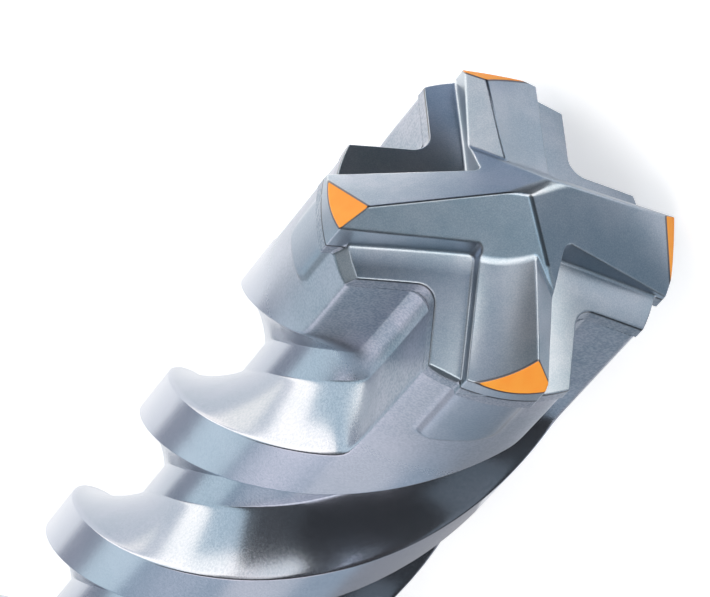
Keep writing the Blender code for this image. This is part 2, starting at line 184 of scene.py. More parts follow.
# Flags and reflectors: name, azimuths, elevations or reach on the floor, colour seen in the metal
STUDIO_CARDS = (
    ("overhead_flag", (60, 360), (60, 78), BLACK),
    ("zenith_flag", (0, 360), (78, 89.9), BLACK),
    ("overhead_panel", (0, 60), (60, 78), (2.6, 2.7, 2.9)),
    ("right_flag", (225, 255), (0, 60), BLACK),
    ("right_flag_low", (255, 285), (0, 34), BLACK),
    ("right_card_high", (255, 315), (34, 60), (0.25, 0.28, 0.3)),
    ("right_panel", (285, 315), (15, 34), (1.8, 2.3, 2.5)),
    ("right_corner_flag", (285, 315), (0, 15), BLACK),
    ("right_front_panel", (315, 345), (0, 60), (3.7, 3.4, 3.0)),
    ("front_card", (-15, 15), (0, 12), (0.35, 0.48, 0.62)),
    ("front_panel", (-15, 15), (14, 34), (1.9, 1.8, 1.7)),
    ("front_flag", (15, 45), (0, 34), BLACK),
    ("left_front_flag", (45, 75), (14, 34), BLACK),
    ("left_front_panel", (45, 75), (0, 14), (1.45, 1.45, 1.48)),
    ("left_panel", (75, 105), (0, 34), (3.4, 3.05, 2.65)),
    ("left_high_card", (75, 96), (34, 60), (2.6, 2.4, 2.2)),
    ("left_low_panel", (105, 135), (0, 14), (3.4, 3.05, 2.65)),
    ("left_back_card", (105, 165), (14, 34), (1.25, 1.45, 1.48)),
    ("left_back_flag", (96, 165), (34, 60), (0.1, 0.1, 0.1)),
    ("back_low_card", (135, 165), (0, 14), (0.5, 0.52, 0.6)),
    ("back_card", (165, 195), (0, 34), (0.6, 0.75, 0.86)),
    ("back_right_low", (195, 225), (0, 14), (0.62, 0.74, 0.84)),
    ("back_right_card", (195, 225), (14, 34), (1.2, 1.2, 1.22)),
    ("back_panel", (165, 225), (34, 60), (2.2, 2.0, 2.0)),
    ("floor_front_flag", (15, 75), (9, 85, "mm"), BLACK),
    ("floor_far_flag", (15, 45), (85, 230, "mm"), BLACK),
    ("floor_near_flag", (-15, 15), (9, 30, "mm"), BLACK),
    ("floor_front_card", (-15, 15), (30, 230, "mm"), (0.36, 0.44, 0.55)),
    ("floor_left_card", (75, 105), (5, 30, "mm"), (0.5, 0.6, 0.77)),
    ("floor_left_panel", (75, 105), (30, 230, "mm"), (3.4, 3.05, 2.65)),
    ("floor_back_panel", (105, 135), (9, 30, "mm"), (3.9, 3.6, 3.2)),
    ("floor_back_far", (105, 135), (30, 85, "mm"), (2.6, 2.35, 2.05)),
    ("floor_right_near", (255, 285), (9, 30, "mm"), (0.27, 0.35, 0.42)),
    ("floor_right_card", (285, 315), (9, 230, "mm"), (0.27, 0.35, 0.42)),
    ("floor_right_front", (315, 345), (9, 230, "mm"), (3.5, 3.2, 2.8)),
    ("floor_back_right", (195, 225), (30, 230, "mm"), (0.5, 0.5, 0.52)),
)

# Lamps: name, azimuth, elevation, distance and size in m, level, colour
LAMPS_AIM_AT = Vector((0.07, 0, 0.0076))
LAMPS = (
    ("key", 75, 50, 0.6, 0.35, 2.4, (1.0, 0.96, 0.97)),
    ("top", 170, 48, 0.6, 0.25, 2.0, (1, 1, 1)),
    ("front", -50, 50, 0.6, 0.25, 2.0, (1, 1, 1)),
)

CAMERA_AT = (0.288276, -0.027150, 0.161043)
CAMERA_TURN = (0.818588, -0.116619, 0.454010, -0.331946)
CAMERA_LENS = 304.2

# From upright in mm to lying on the lands in m
TIP_AT = (0.08, 0, 0.0076)
LAY = Matrix.Translation(TIP_AT) @ Matrix.Rotation(math.radians(90), 4, "Y") \
    @ Matrix.Rotation(math.radians(-45), 4, "Z") @ Matrix.Scale(0.001, 4)


# ---------------------------------------------------------------- head

def both(a, b, radius):
    """Inside both, with the edge between them rounded."""
    edge = np.hypot(np.maximum(a + radius, 0), np.maximum(b + radius, 0))
    return np.minimum(-radius, np.maximum(a, b)) + edge


def either(a, b, radius):
    """Inside one or the other, with a fillet between them."""
    corner = np.hypot(np.maximum(radius - a, 0), np.maximum(radius - b, 0))
    return np.maximum(radius, np.minimum(a, b)) - corner


def turned(x, y, degrees):
    """x and y after a turn about the axis."""
    angle = math.radians(degrees)
    return x * math.cos(angle) - y * math.sin(angle), x * math.sin(angle) + y * math.cos(angle)


def roof_plane(face, azimuth, side):
    """(normal, offset) of a roof face: the signed distance is normal . point - offset."""
    height, outward, across = face
    normal = np.array([*turned(outward, side * across, azimuth), 1.0])
    length = np.linalg.norm(normal)
    return normal / length, height / length


def chamfer_plane(azimuth, radius, chamfer, trailing, leading):
    """Plane of the corner chamfer at the outer end of an arm's ridge."""
    width, slope, skew = chamfer
    reach = radius - width
    rise = leading[0] - trailing[0] + (trailing[1] - leading[1]) * reach
    offset = rise / (trailing[2] + leading[2])
    height = trailing[0] - trailing[1] * reach + trailing[2] * offset
    normal = np.array([*turned(math.tan(math.radians(slope)), 0, azimuth + skew), 1.0])
    normal /= np.linalg.norm(normal)
    return normal, float(normal @ np.array([*turned(reach, offset, azimuth), height]))


def distance(plane, x, y, z):
    """Signed distance from a plane, positive outside."""
    normal, offset = plane
    return normal[0] * x + normal[1] * y + normal[2] * z - offset


CHAMFERS = [chamfer_plane(azimuth, CUTTING_RADIUS, MAIN_CHAMFER, MAIN_TRAILING, MAIN_LEADING)
            for azimuth in (0, 180)] \
    + [chamfer_plane(azimuth, SECOND_RADIUS, SECOND_CHAMFER, SECOND_TRAILING, SECOND_LEADING)
       for azimuth in (90, 270)]


def facet_plane(azimuth, width):
    """Plane that breaks the rim of the ledge beside an arm."""
    slope = math.radians(END_FACET_SLOPE)
    at = LEDGE_RADIUS - width
    normal = np.array([*turned(math.sin(slope), 0, azimuth), math.cos(slope)])
    offset = at * math.sin(slope) + (LEDGE_TOP - LEDGE_SLOPE * at) * math.cos(slope)
    return normal, offset


FACETS = [facet_plane(azimuth + half, width) for azimuth, width in END_FACETS for half in (0, 180)]

# Edges painted with shade as a dark line: two faces, and the direction and least reach that bound
# the line.
# They are the ridges of the arms at 180 and 90 degrees, and the edge over the middle of the head.
PAINTED_SHADE_EDGES = (
    (roof_plane(MAIN_TRAILING, 180, -1), roof_plane(MAIN_LEADING, 180, 1), (-1, 0, 0), 0.6),
    (roof_plane(SECOND_TRAILING, 90, -1), roof_plane(SECOND_LEADING, 90, 1), (0, 1, 0), 1.2),
    (roof_plane(MAIN_LEADING, 180, 1), roof_plane(MAIN_TRAILING, 0, -1), (0, 0, 1), -2.4),
)


def main_roof(x, y, z):
    """Roof of the first pair of arms with the chisel edge and the corner chamfers."""
    lean = math.tan(math.radians(CHISEL_TILT))
    field = np.full(x.shape, -100.0)
    for azimuth in (0, 180):
        normal = np.array([*turned(lean, 0, CHISEL_AZIMUTH + 90 + azimuth), 1.0])
        faces = [roof_plane(MAIN_TRAILING, azimuth, -1), roof_plane(MAIN_LEADING, azimuth, 1),
                 (normal / np.linalg.norm(normal), 0.0), CHAMFERS[azimuth // 180]]
        for face, radius in zip(faces, (RIDGE_ROUND, RIDGE_ROUND, RIDGE_ROUND, EDGE_ROUND)):
            field = both(field, distance(face, x, y, z), radius)
    return field


def second_roof(x, y, z):
    """Roof of the second pair of arms, whose trailing faces are a little hollow."""
    field = np.full(x.shape, -100.0)
    for azimuth in (90, 270):
        u, l = turned(x, y, -azimuth)
        across = np.maximum(1 - ((l - HOLLOW_ACROSS[0]) / HOLLOW_ACROSS[1]) ** 2, 0)
        along = np.maximum(1 - ((u - HOLLOW_MIDDLE[0]) / HOLLOW_MIDDLE[1]) ** 2, 0)
        hollow = across * (u > 0) * (FACE_HOLLOW[0] + FACE_HOLLOW[1] * along)
        field = both(field, distance(roof_plane(SECOND_TRAILING, azimuth, -1), x, y, z) + hollow,
                     RIDGE_ROUND)
        field = both(field, distance(roof_plane(SECOND_LEADING, azimuth, 1), x, y, z), RIDGE_ROUND)
        field = both(field, distance(CHAMFERS[2 + azimuth // 180], x, y, z), EDGE_ROUND)
    return field


def cross(x, y, walls, fillet):
    """Upright walls of four arms; walls holds (leading, trailing) for each pair of arms."""
    field = np.full(x.shape, -100.0)
    for number in range(4):
        u, l = turned(x, y, -90 * number)
        leading = walls[number % 2][0]
        trailing = walls[(number + 1) % 2][1]
        field = np.maximum(field, either(l - leading, u - trailing, fillet))
    return field


def head_field(x, y, z):
    """Signed field of the whole head, negative inside."""
    radius = np.hypot(x, y)
    roof = either(main_roof(x, y, z), second_roof(x, y, z), VALLEY_FILLET)
    reach = np.where(np.abs(x) > np.abs(y), CUTTING_RADIUS, SECOND_RADIUS)
    bars = both(cross(x, y, BAR_WALLS, BAR_INNER_FILLET), roof, EDGE_ROUND)
    bars = both(bars, radius - reach, EDGE_ROUND)

    sides = (LEDGE_LEADING, LEDGE_TRAILING)
    ledge = both(cross(x, y, (sides, sides), LEDGE_FILLET), radius - LEDGE_RADIUS, EDGE_ROUND)
    rise = 0
    for azimuth in (0, 180):
        u, l = turned(x, y, -azimuth)
        off_wall = np.maximum(l - BAR_WALLS[0][0], 0)
        rise = rise + LEDGE_SWEEP[1] * np.maximum(LEDGE_SWEEP[0] - off_wall, 0) ** 2 \
            * ((u > 0) & (l > 0))
    cone = (z - LEDGE_TOP - rise + LEDGE_SLOPE * radius) / math.hypot(1, LEDGE_SLOPE)
    ledge = both(ledge, cone, EDGE_ROUND)
    for facet in FACETS:
        ledge = both(ledge, distance(facet, x, y, z), EDGE_ROUND / 2)
    seat = (LEDGE_TOP - LEDGE_RIM - LEDGE_SLOPE * radius - z) / math.hypot(1, LEDGE_SLOPE)
    return np.maximum(either(bars, ledge, WALL_FOOT_FILLET), seat)


def surface_net(field, low, high, step):
    """Closed quad mesh of field = 0: one vertex in each cell that the surface crosses."""
    axes = [np.arange(start, end + step, step) for start, end in zip(low, high)]
    grid = field(*np.meshgrid(*axes, indexing="ij"))
    inside = grid < 0
    cells = tuple(count - 1 for count in grid.shape)
    quads, points = [], []
    for axis in range(3):
        first = [slice(None)] * 3
        second = [slice(None)] * 3
        first[axis], second[axis] = slice(None, -1), slice(1, None)
        starts = np.argwhere(inside[tuple(first)] != inside[tuple(second)])
        ends = starts.copy()
        ends[:, axis] += 1
        before, after = grid[tuple(starts.T)], grid[tuple(ends.T)]
        crossing = starts.astype(float)
        crossing[:, axis] += before / (before - after)
        corners = []
        for up, over in ((0, 0), (-1, 0), (-1, -1), (0, -1)):
            cell = starts.copy()
            cell[:, (axis + 1) % 3] += up
            cell[:, (axis + 2) % 3] += over
            corners.append(np.ravel_multi_index(tuple(cell.T), cells))
        quad = np.stack(corners, 1)
        flip = before > 0
        quad[flip] = quad[flip][:, ::-1]
        quads.append(quad)
        points.append(np.repeat(crossing[:, None, :], 4, axis=1))
    quads = np.concatenate(quads)
    points = np.concatenate(points).reshape(-1, 3)
    _, index = np.unique(quads.ravel(), return_inverse=True)
    index = index.ravel()
    counts = np.bincount(index)
    vertices = np.stack([np.bincount(index, points[:, k]) / counts for k in range(3)], 1)
    return np.array(low) + vertices * step, index.reshape(-1, 4)


def gradient(field, points, reach):
    """Slope of the field at the points, by central differences."""
    slopes = []
    for axis in range(3):
        ahead, behind = points.copy(), points.copy()
        ahead[:, axis] += reach
        behind[:, axis] -= reach
        slopes.append((field(*ahead.T) - field(*behind.T)) / (2 * reach))
    return np.stack(slopes, 1)


def settle(field, points, step):
    """Move the vertices onto the surface along its gradient."""
    for _ in range(SETTLE_ROUNDS):
        slope = gradient(field, points, SLOPE_REACH)
        size = np.maximum((slope ** 2).sum(1), 0.05)
        move = (field(*points.T) / size)[:, None] * slope
        length = np.maximum(np.linalg.norm(move, axis=1), 1e-9)[:, None]
        points = points - move * np.minimum(1, SETTLE_STEP * step / length)
    return points


# ---------------------------------------------------------------- steel body

def smooth(value):
    value = np.clip(value, 0.0, 1.0)
    return value * value * (3 - 2 * value)


def soft_min(first, second):
    """The smaller of two angles, with a smooth change from one to the other."""
    return (first + second - math.hypot(first - second, EDGE_BLEND)) / 2


def side_angle(distance_off, radius):
    """Degrees round the axis at which a circle is that far off a line through the axis."""
    return math.degrees(math.asin(distance_off / radius))


def crowded(steps):
    """Shares from 0 to 1 that lie closer together at both ends."""
    share = np.linspace(0, 1, steps + 1)
    return 0.4 * share + 0.3 * (1 - np.cos(math.pi * share))


def polar(radius, degrees):
    angle = np.radians(degrees)
    return np.stack([radius * np.cos(angle), radius * np.sin(angle)], -1)


def pad_height(side, depth):
    """How far the land stands proud at a place off the middle of the arm, by its depth."""
    end = (PAD_LEADING_END + PAD_TRAILING_END) / 2 \
        + (PAD_TRAILING_END - PAD_LEADING_END) * -side / (2 * PAD_SIDE)
    across = np.abs(side) - PAD_SIDE + PAD_CORNER
    down = (depth - end) * PAD_END_LEAN + PAD_CORNER
    outside = np.hypot(np.maximum(across, 0), np.maximum(down, 0)) \
        + np.minimum(np.maximum(across, down), 0) - PAD_CORNER
    return PAD_PROUD * (1 - smooth((outside + PAD_EDGE) / (2 * PAD_EDGE)))


def body_section(depth):
    """Outline across the body at one depth, as in the solid, with finer arcs."""
    land_steps, flank_steps, floor_steps = SECTION_STEPS
    turn = (HELIX_START - depth) * 360.0 / HELIX_LEAD
    leading_edge = soft_min(side_angle(LEDGE_LEADING, LAND_RADIUS), turn + LAND_LEADING)
    trailing_edge = soft_min(-side_angle(LEDGE_TRAILING, LAND_RADIUS), turn - LAND_TRAILING)
    corner = (LEDGE_TRAILING + LEDGE_FILLET, LEDGE_LEADING)
    next_corner = (LEDGE_TRAILING, LEDGE_LEADING + LEDGE_FILLET)
    corner_radius = math.hypot(*corner)
    floor_start = soft_min(math.degrees(math.atan2(corner[1], corner[0])),
                           turn + LAND_LEADING + UNDERCUT_FLANK)
    floor_end = soft_min(math.degrees(math.atan2(next_corner[1], next_corner[0])),
                         turn + 90 - LAND_TRAILING - LIFTING_FLANK)
    wound = float(smooth((depth - HELIX_START) / HELIX_BLEND + 0.5))
    run_out = float(smooth((depth - FLUTED_LENGTH) / RUNOUT_LENGTH + 1))
    rise = (LAND_RADIUS - CORE_RADIUS) * run_out
    side_radius = corner_radius + (CORE_RADIUS - corner_radius) * wound + rise
    hollow = LEDGE_FILLET * (math.sqrt(2) - 1) / 2 * (1 - wound)

    share = crowded(floor_steps)
    floor = polar(side_radius - hollow * (1 - (2 * share - 1) ** 2),
                  floor_start + (floor_end - floor_start) * share)
    angles = trailing_edge + (leading_edge - trailing_edge) * crowded(land_steps)
    proud = pad_height(LAND_RADIUS * np.sin(np.radians(angles)), depth)
    land = polar(LAND_RADIUS + proud, angles)
    edge_side = LAND_RADIUS * math.sin(math.radians(trailing_edge))
    following = polar(LAND_RADIUS + float(pad_height(edge_side, depth)), trailing_edge + 90)
    between = crowded(flank_steps)[1:-1, None]
    quarter = np.concatenate([land, land[-1] + (floor[0] - land[-1]) * between,
                              floor, floor[-1] + (following - floor[-1]) * between])
    outline = np.concatenate([np.stack(turned(quarter[:, 0], quarter[:, 1], 90 * number), 1)
                              for number in range(4)])
    for _ in range(SECTION_SOFTENING):
        outline = (2 * outline + np.roll(outline, 1, 0) + np.roll(outline, -1, 0)) / 4
    return outline


def body_depths():
    """Depths of the rows of points, closer together along the pads."""
    depths = list(np.arange(*PAD_ROWS))
    while depths[-1] < FLUTED_LENGTH:
        depths.append(depths[-1] + ROW_STEPS[0 if depths[-1] < COARSE_FROM else 1])
    depths[-1] = FLUTED_LENGTH
    return depths


def body_rings():
    """Rings of points from the conical seat down to the end of the shoulder."""
    depths = body_depths()
    top = body_section(depths[0])
    seat = BODY_TOP - LEDGE_SLOPE * np.hypot(top[:, 0], top[:, 1])
    rings = [np.column_stack([top, seat + (-LEVEL_FROM - seat) * share])
             for share in (0.0, 0.5, 1.0)]
    for depth in depths[2:]:
        section = body_section(depth)
        rings.append(np.column_stack([section, np.full(len(section), -depth)]))
    last = body_section(FLUTED_LENGTH)
    for step in range(1, SHOULDER_ROWS + 1):
        share = step / SHOULDER_ROWS
        scale = 1 + (CORE_RADIUS / LAND_RADIUS - 1) * (1 - math.cos(math.pi * share)) / 2
        height = np.full(len(last), -FLUTED_LENGTH - SHOULDER_LENGTH * share)
        rings.append(np.column_stack([last * scale, height]))
    return np.array(rings)


# ---------------------------------------------------------------- objects

def linked(name, data):
    """New object in the scene."""
    item = bpy.data.objects.new(name, data)
    bpy.context.scene.collection.objects.link(item)
    return item


def mesh_of(bm, name):
    mesh = bpy.data.meshes.new(name)
    bm.to_mesh(mesh)
    bm.free()
    return mesh


def applied(item):
    """Mesh of an object after its modifiers."""
    bpy.context.view_layer.update()
    graph = bpy.context.evaluated_depsgraph_get()
    return bpy.data.meshes.new_from_object(item.evaluated_get(graph))


def piece(name, mesh, node, material):
    """Visible piece that stands for a node of the CAD model."""
    item = linked(name, mesh)
    mesh.materials.append(material)
    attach(item, "root")
    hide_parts(node)


def make_head(material):
    """Mesh of the head's field, with its normals taken from the field too."""
    points, quads = surface_net(head_field, *HEAD_BOX, HEAD_STEP)
    points = settle(head_field, points, HEAD_STEP)
    dense = bpy.data.meshes.new("dense")
    dense.from_pydata(points.tolist(), [], quads.tolist())
    item = linked("dense", dense)
    thin = item.modifiers.new("fewer_faces_where_flat", "DECIMATE")
    thin.ratio = min(1.0, HEAD_TRIANGLES / (2 * len(quads)))
    mesh = applied(item)
    bpy.data.objects.remove(item, do_unlink=True)
    mesh.name = "carbide_head_fine"
    points = np.array([vertex.co for vertex in mesh.vertices], float)
    points = settle(head_field, points, HEAD_STEP)
    mesh.vertices.foreach_set("co", points.ravel().astype(np.float32))
    slopes = gradient(head_field, points, NORMAL_REACH)
    normals = slopes / np.maximum(np.linalg.norm(slopes, axis=1), 1e-9)[:, None]
    mesh.shade_smooth()
    turn = np.array(LAY.to_3x3()) * 1000
    mesh.transform(LAY)
    mesh.normals_split_custom_set_from_vertices((normals @ turn.T).tolist())
    piece("carbide_cutting_head", mesh, "carbide_head", material)


def loft_faces(rings, count):
    """Quads between rings of count points each."""
    faces = []
    for ring in range(rings - 1):
        start = ring * count
        for number in range(count):
            following = (number + 1) % count
            faces.append((start + number, start + count + number,
                          start + count + following, start + following))
    return faces


def shank_profile():
    """Neck, shank and chamfered end as (radius, height), from top to bottom."""
    neck_top = -FLUTED_LENGTH - 1
    neck_end = neck_top - NECK_LENGTH
    end = -OVERALL_LENGTH
    full, long, short = END_CHAMFER
    return [(0, neck_top), (NECK_RADIUS, neck_top), (NECK_RADIUS, neck_end + 0.15),
            (NECK_RADIUS - 0.03, neck_end), (SHANK_RADIUS + 0.02, neck_end - 0.6),
            (SHANK_RADIUS, neck_end - 0.75), (SHANK_RADIUS, end + full),
            (SHANK_RADIUS - short, end + long), (SHANK_RADIUS - long, end + short),
            (SHANK_RADIUS - full, end), (0, end)]


def arc(centre, radius, start, end, steps):
    """Points on an arc in the plane of a profile."""
    angles = np.radians(np.linspace(start, end, steps + 1))
    return [(centre[0] + radius * math.cos(angle), centre[1] + radius * math.sin(angle))
            for angle in angles]


def turned_mesh(profile, steps, name):
    """Closed mesh of a profile turned about the drill axis."""
    bm = bmesh.new()
    chain = [bm.verts.new((radius, 0, height)) for radius, height in profile]
    edges = [bm.edges.new(pair) for pair in zip(chain, chain[1:])]
    bmesh.ops.spin(bm, geom=chain + edges, cent=(0, 0, 0), axis=(0, 0, 1), angle=2 * math.pi,
                   steps=steps, use_merge=True)
    bmesh.ops.remove_doubles(bm, verts=bm.verts, dist=0.0001)
    bmesh.ops.recalc_face_normals(bm, faces=bm.faces)
    return mesh_of(bm, name)


def slot_mesh(azimuth):
    """Drive slot, open at the end of the shank, whose floor runs out in an arc."""
    floor = SHANK_RADIUS - SLOT_DEPTH
    fan = math.degrees(math.acos(1 - SLOT_DEPTH / SLOT_RUNOUT))
    run = -OVERALL_LENGTH + SLOT_LENGTH - SLOT_RUNOUT * math.sin(math.radians(fan))
    curve = arc((floor + SLOT_RUNOUT, run), SLOT_RUNOUT, 180, 180 - fan, ARC_STEPS)
    below, outside = -OVERALL_LENGTH - 1, SHANK_RADIUS + 4
    outline = [(floor, below)] + curve + [(outside, curve[-1][1]), (outside, below)]
    bm = bmesh.new()
    face = bm.faces.new([bm.verts.new((x, -SLOT_WIDTH / 2, z)) for x, z in outline])
    grown = bmesh.ops.extrude_face_region(bm, geom=[face])
    verts = [item for item in grown["geom"] if isinstance(item, bmesh.types.BMVert)]
    bmesh.ops.translate(bm, vec=(0, SLOT_WIDTH, 0), verts=verts)
    bmesh.ops.rotate(bm, matrix=Matrix.Rotation(math.radians(azimuth), 3, "Z"), verts=bm.verts)
    bmesh.ops.recalc_face_normals(bm, faces=bm.faces)
    return mesh_of(bm, "slot")


def groove_mesh(azimuth):
    """Ball-ended lock groove, closed at both ends."""
    top = -OVERALL_LENGTH + GROOVE_FROM_END + GROOVE_LENGTH - GROOVE_BALL
    bottom = -OVERALL_LENGTH + GROOVE_FROM_END + GROOVE_BALL
    profile = [(0, top + GROOVE_BALL)] + arc((0, top), GROOVE_BALL, 90, 0, ARC_STEPS)[1:] \
        + arc((0, bottom), GROOVE_BALL, 0, -90, ARC_STEPS)[:-1] + [(0, bottom - GROOVE_BALL)]
    mesh = turned_mesh(profile, GROOVE_STEPS, "groove")
    mesh.transform(Matrix.Rotation(math.radians(azimuth), 4, "Z")
                   @ Matrix.Translation((SHANK_RADIUS - GROOVE_DEPTH + GROOVE_BALL, 0, 0)))
    return mesh


def make_shank(material):
    """Neck and slotted shank; the grooves are cut and their edges are broken by a small bevel."""
    shank = linked("uncut_shank", turned_mesh(shank_profile(), SHANK_STEPS, "shank"))
    cutters = []
    for azimuth in SLOT_AZIMUTHS:
        for mesh in (slot_mesh(azimuth), groove_mesh(azimuth + 90)):
            cutter = linked("cutter", mesh)
            cutters.append(cutter)
            cut = shank.modifiers.new("cut", "BOOLEAN")
            cut.operation = "DIFFERENCE"
            cut.solver = "EXACT"
            cut.object = cutter
    bevel = shank.modifiers.new("broken_edges", "BEVEL")
    bevel.width = BROKEN_EDGE
    bevel.segments = 2
    bevel.limit_method = "ANGLE"
    bevel.angle_limit = math.radians(BEVEL_FROM)
    mesh = applied(shank)
    for item in cutters + [shank]:
        bpy.data.objects.remove(item, do_unlink=True)
    mesh.name = "slotted_shank"
    mesh.shade_smooth()
    mesh.set_sharp_from_angle(angle=math.radians(SHANK_SHARP_FROM))
    mesh.transform(LAY)
    piece("slotted_shank", mesh, "steel_body", material)


def make_body(material):
    """Loft of the fluted body, closed by a fan at both ends."""
    rings = body_rings()
    count = rings.shape[1]
    points = rings.reshape(-1, 3).tolist()
    faces = loft_faces(len(rings), count)
    top, bottom = len(points), len(points) + 1
    points += [(0, 0, BODY_TOP), (0, 0, -FLUTED_LENGTH - SHOULDER_LENGTH)]
    last = (len(rings) - 1) * count
    for number in range(count):
        following = (number + 1) % count
        faces.append((top, number, following))
        faces.append((bottom, last + following, last + number))
    mesh = bpy.data.meshes.new("steel_body_fine")
    mesh.from_pydata(points, [], faces)
    mesh.shade_smooth()
    mesh.set_sharp_from_angle(angle=math.radians(BODY_SHARP_FROM))
    mesh.transform(LAY)
    piece("fluted_steel_body", mesh, "steel_body", material)


# ---------------------------------------------------------------- materials

def feed(tree, node, **inputs):
    """Set or link inputs of a node, by name (underscores for spaces) or by number (i0, i1)."""
    for name, value in inputs.items():
        key = int(name[1:]) if name[0] == "i" and name[1:].isdigit() else name.replace("_", " ")
        socket = node.inputs[key]
        if isinstance(value, bpy.types.NodeSocket):
            tree.links.new(value, socket)
        else:
            socket.default_value = value


def add(tree, kind, settings=None, **inputs):
    """New node with its settings and inputs."""
    node = tree.nodes.new(kind)
    for name, value in (settings or {}).items():
        setattr(node, name, value)
    feed(tree, node, **inputs)
    return node


def maths(tree, operation, first, second=0.0, clamp=False):
    return add(tree, "ShaderNodeMath", {"operation": operation, "use_clamp": clamp},
               i0=first, i1=second).outputs[0]


def plus(tree, first, second):
    return maths(tree, "ADD", first, second)


def times(tree, first, second):
    return maths(tree, "MULTIPLY", first, second)


def inverse(tree, value):
    return maths(tree, "SUBTRACT", 1.0, value)


def blend(tree, share, first, second):
    """Colour that goes from first to second with the share."""
    return add(tree, "ShaderNodeMix", {"data_type": "RGBA"},
               i0=share, i6=first, i7=second).outputs[2]


def ramp(tree, value, low, high):
    """0 below low, 1 above high, smooth between."""
    return add(tree, "ShaderNodeMapRange", {"interpolation_type": "SMOOTHSTEP"},
               Value=value, From_Min=low, From_Max=high).outputs[0]


def dot(tree, first, second):
    return add(tree, "ShaderNodeVectorMath", {"operation": "DOT_PRODUCT"},
               i0=first, i1=second).outputs["Value"]


def millimetres(tree):
    """Position on the object in millimetres, upright on the drill axis with the tip at zero."""
    place = add(tree, "ShaderNodeTexCoord").outputs["Object"]
    moved = add(tree, "ShaderNodeVectorMath", {"operation": "SUBTRACT"},
                i0=place, i1=TIP_AT).outputs[0]
    rows = (LAY.to_3x3() * 1000).transposed() * 1000
    x, y, z = [dot(tree, moved, tuple(row)) for row in rows]
    return add(tree, "ShaderNodeCombineXYZ", i0=x, i1=y, i2=z).outputs[0], (x, y, z)


def radius_of(tree, x, y):
    return maths(tree, "SQRT", plus(tree, times(tree, x, x), times(tree, y, y)))


def noise(tree, place, scale, detail, roughness):
    return add(tree, "ShaderNodeTexNoise", {"normalize": True}, Vector=place, Scale=scale,
               Detail=detail, Roughness=roughness).outputs["Fac"]


def plane_distance(tree, place, plane):
    normal, offset = plane
    return maths(tree, "SUBTRACT", dot(tree, place, tuple(normal)), float(offset))


def off_planes(tree, place, planes, operation):
    """Distance to the nearest (MINIMUM) or the farthest (MAXIMUM) of some planes."""
    off = [maths(tree, "ABSOLUTE", plane_distance(tree, place, plane)) for plane in planes]
    while len(off) > 1:
        off = [maths(tree, operation, *off[:2])] + off[2:]
    return off[0]


def new_material(name):
    """Material with its node tree and its shader."""
    material = bpy.data.materials.new(name)
    material.use_nodes = True
    tree = material.node_tree
    return material, tree, tree.nodes["Principled BSDF"]


def stippled(tree, place):
    """Dimples, colour and height of the blasted skin, which has a finer grain too."""
    dimple = noise(tree, place, 9.0, 1.0, 0.5)
    grain = noise(tree, place, 26.0, 2.0, 0.6)
    cloud = noise(tree, place, 0.3, 3.0, 0.55)
    colour = blend(tree, ramp(tree, cloud, 0.35, 0.7), *BLASTED)
    colour = blend(tree, 0.3, colour, blend(tree, ramp(tree, dimple, 0.3, 0.7), *BLASTED_SPECKS))
    return dimple, colour, plus(tree, times(tree, dimple, 0.8), times(tree, grain, 0.3))


def carbide_material():
    """Specked satin carbide, blasted rim, orange corner marks, and painted shade as dark lines."""
    material, tree, shader = new_material("satin_sintered_carbide")
    place, (x, y, z) = millimetres(tree)
    cloud = noise(tree, place, 0.45, 3.0, 0.55)
    grain = noise(tree, place, 16.0, 3.0, 0.6)
    colour = blend(tree, ramp(tree, cloud, 0.35, 0.68), *CARBIDE)
    speck = ramp(tree, grain, 0.3, 0.75)
    colour = blend(tree, 0.24, colour, blend(tree, speck, *CARBIDE_SPECKS))

    # Side of the ledge, except its facets: painted shade as a dark line at its upper edge, and the
    # blasted skin
    ledge = plus(tree, times(tree, radius_of(tree, x, y), LEDGE_SLOPE), -LEDGE_TOP)
    under = times(tree, plus(tree, z, ledge), -1.0)
    off_facet = ramp(tree, off_planes(tree, place, FACETS, "MINIMUM"), *OFF_FACET)
    rim = ramp(tree, under, *RIM_FROM)
    # Painted shade: a dark line under the upper edge of the ledge
    ledge_edge_shade = times(tree, ramp(tree, under, *RIM_SHADE_FROM), inverse(tree, rim))
    ledge_edge_shade = times(tree, ledge_edge_shade, off_facet)
    rim = times(tree, rim, off_facet)
    _, steel, skin = stippled(tree, place)
    colour = blend(tree, rim, colour, steel)
    colour = blend(tree, times(tree, ledge_edge_shade, 0.85), colour, PAINTED_EDGE_SHADE)

    # Painted shade as dark lines along the ridges of the arms and the edge over the middle
    for first, second, direction, least in PAINTED_SHADE_EDGES:
        off = off_planes(tree, place, (first, second), "MAXIMUM")
        edge = inverse(tree, ramp(tree, off, *OFF_SHADED_EDGE))
        there = ramp(tree, plane_distance(tree, place, (direction, least)), 0.0, 0.1)
        edge = times(tree, edge, there)
        colour = blend(tree, times(tree, edge, 0.85), colour, PAINTED_EDGE_SHADE)

    # Marks on the corner chamfers, with a dark outline of painted crease shade
    off = off_planes(tree, place, CHAMFERS, "MINIMUM")
    high = ramp(tree, z, *MARKS_FROM)
    outline = times(tree, inverse(tree, ramp(tree, off, *OFF_CREASE_SHADE)), high)
    orange = times(tree, inverse(tree, ramp(tree, off, *OFF_MARK)), high)
    paint = blend(tree, ramp(tree, cloud, 0.3, 0.7), *ORANGE)
    colour = blend(tree, times(tree, outline, 0.8), colour, MARK_CREASE_SHADE)
    colour = blend(tree, orange, colour, paint)

    rough = plus(tree, times(tree, grain, 0.12), 0.26)
    rough = plus(tree, rough, times(tree, rim, 0.15))
    rough = plus(tree, rough, times(tree, orange, 0.4))
    height = plus(tree, times(tree, grain, 0.2), times(tree, skin, rim))
    bump = add(tree, "ShaderNodeBump", Strength=0.4, Distance=0.00004, Height=height)
    feed(tree, shader, Base_Color=colour, Metallic=times(tree, inverse(tree, orange), 0.92),
         Roughness=rough, Normal=bump.outputs[0])
    return material


